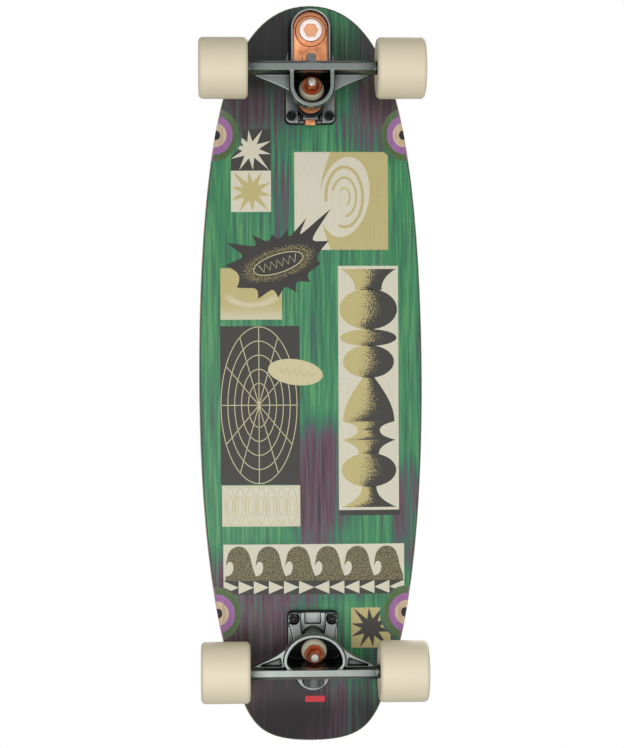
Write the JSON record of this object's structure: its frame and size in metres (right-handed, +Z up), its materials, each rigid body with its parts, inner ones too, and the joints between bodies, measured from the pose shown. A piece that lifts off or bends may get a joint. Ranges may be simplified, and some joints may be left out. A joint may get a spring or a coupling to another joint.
{
  "type": "surf skateboard",
  "caption": "Surf skateboard with a printed seven-layer kicktail deck, a swivelling front truck, a fixed rear truck and soft cream wheels.",
  "frame": {"origin": "on the ground under the middle of the deck", "axes": "+Z up, the nose points along -Y and the tail along +Y, X across the board"},
  "size_m": [0.243, 0.8, 0.1178],
  "materials": {
    "veneer_green": "stained and printed veneer, satin lacquer",
    "veneer_purple": "purple-dyed veneer",
    "veneer_maple": "natural maple veneer",
    "veneer_black": "black-dyed veneer",
    "grip": "coarse black grip tape",
    "riser": "black rubber riser",
    "dark_casting": "dark satin powder coat",
    "grey_casting": "grey satin coat, worn bright on edges",
    "copper_finish": "copper-coloured satin plating",
    "black_steel": "black oxide steel",
    "bright_steel": "bright zinc-plated steel",
    "spring_steel": "oiled spring steel",
    "bronze": "plain bronze bush",
    "bearing_steel": "ground bearing steel",
    "pivot_plastic": "moulded cup",
    "bushing_rubber": "cream cast urethane",
    "wheel_urethane": "cream cast urethane, worn tread"
  },
  "bodies": {
    "deck": {"ply_1": "veneer_green", "ply_2": "veneer_purple", "ply_3": "veneer_maple", "ply_4": "veneer_black", "ply_5": "veneer_maple", "ply_6": "veneer_purple", "ply_7": "veneer_maple", "grip_tape": "grip", "front_riser": "riser", "rear_riser": "riser", "front_base": "dark_casting", "rear_base": "dark_casting", "front_deck_bolts": "black_steel", "rear_deck_bolts": "black_steel", "front_deck_nuts": "black_steel", "rear_deck_nuts": "black_steel", "swivel_bolt": "bright_steel", "swivel_lock_nut": "bright_steel", "centring_spring": "spring_steel", "spring_adjuster": "copper_finish", "rear_pivot_cup": "pivot_plastic", "rear_kingpin": "bright_steel", "rear_kingpin_nut": "copper_finish", "rear_cup_washers": "copper_finish", "rear_board_bushing": "bushing_rubber", "rear_road_bushing": "bushing_rubber"},
    "front_arm": {"swivel_arm": "dark_casting", "arm_cover": "copper_finish", "swivel_bush": "bronze", "swivel_thrust_washer": "bright_steel", "pivot_cap_screw": "bright_steel", "front_pivot_cup": "pivot_plastic", "front_kingpin": "bright_steel", "front_kingpin_nut": "copper_finish", "front_cup_washers": "copper_finish", "front_board_bushing": "bushing_rubber", "front_road_bushing": "bushing_rubber"},
    "front_truck": {"front_hanger": "grey_casting", "front_axle": "bright_steel", "front_axle_nuts": "bright_steel", "front_axle_spacers": "bright_steel", "front_inner_races": "bright_steel"},
    "rear_truck": {"rear_hanger": "grey_casting", "rear_axle": "bright_steel", "rear_axle_nuts": "bright_steel", "rear_axle_spacers": "bright_steel", "rear_inner_races": "bright_steel"},
    "front_left_wheel": {"front_left_tyre": "wheel_urethane", "front_left_outer_races": "bearing_steel"},
    "front_right_wheel": {"front_right_tyre": "wheel_urethane", "front_right_outer_races": "bearing_steel"},
    "rear_left_wheel": {"rear_left_tyre": "wheel_urethane", "rear_left_outer_races": "bearing_steel"},
    "rear_right_wheel": {"rear_right_tyre": "wheel_urethane", "rear_right_outer_races": "bearing_steel"}
  },
  "joints": [
    {"name": "front_swivel", "type": "hinge", "parent": "deck", "child": "front_arm", "pos_m": [0, -0.367, 0.07], "axis": [0, 0, 1], "range_deg": [-30, 30], "stiffness_Nm_per_rad": 6, "deforming": ["centring_spring"]},
    {"name": "front_steer", "type": "hinge", "parent": "front_arm", "child": "front_truck", "pos_m": [0, -0.3005, 0.0541], "axis": [0, -0.9511, 0.309], "range_deg": [-13, 13], "stiffness_Nm_per_rad": 45, "deforming": ["front_board_bushing", "front_road_bushing"]},
    {"name": "rear_steer", "type": "hinge", "parent": "deck", "child": "rear_truck", "pos_m": [0, 0.292, 0.0541], "axis": [0, 0.9511, 0.309], "range_deg": [-13, 13], "stiffness_Nm_per_rad": 45, "deforming": ["rear_board_bushing", "rear_road_bushing"]},
    {"name": "front_left_wheel_spin", "type": "hinge", "parent": "front_truck", "child": "front_left_wheel", "pos_m": [-0.0938, -0.323, 0.0325], "axis": [1, 0, 0], "continuous": true},
    {"name": "front_right_wheel_spin", "type": "hinge", "parent": "front_truck", "child": "front_right_wheel", "pos_m": [0.0938, -0.323, 0.0325], "axis": [1, 0, 0], "continuous": true},
    {"name": "rear_left_wheel_spin", "type": "hinge", "parent": "rear_truck", "child": "rear_left_wheel", "pos_m": [-0.0938, 0.3145, 0.0325], "axis": [1, 0, 0], "continuous": true},
    {"name": "rear_right_wheel_spin", "type": "hinge", "parent": "rear_truck", "child": "rear_right_wheel", "pos_m": [0.0938, 0.3145, 0.0325], "axis": [1, 0, 0], "continuous": true}
  ]
}
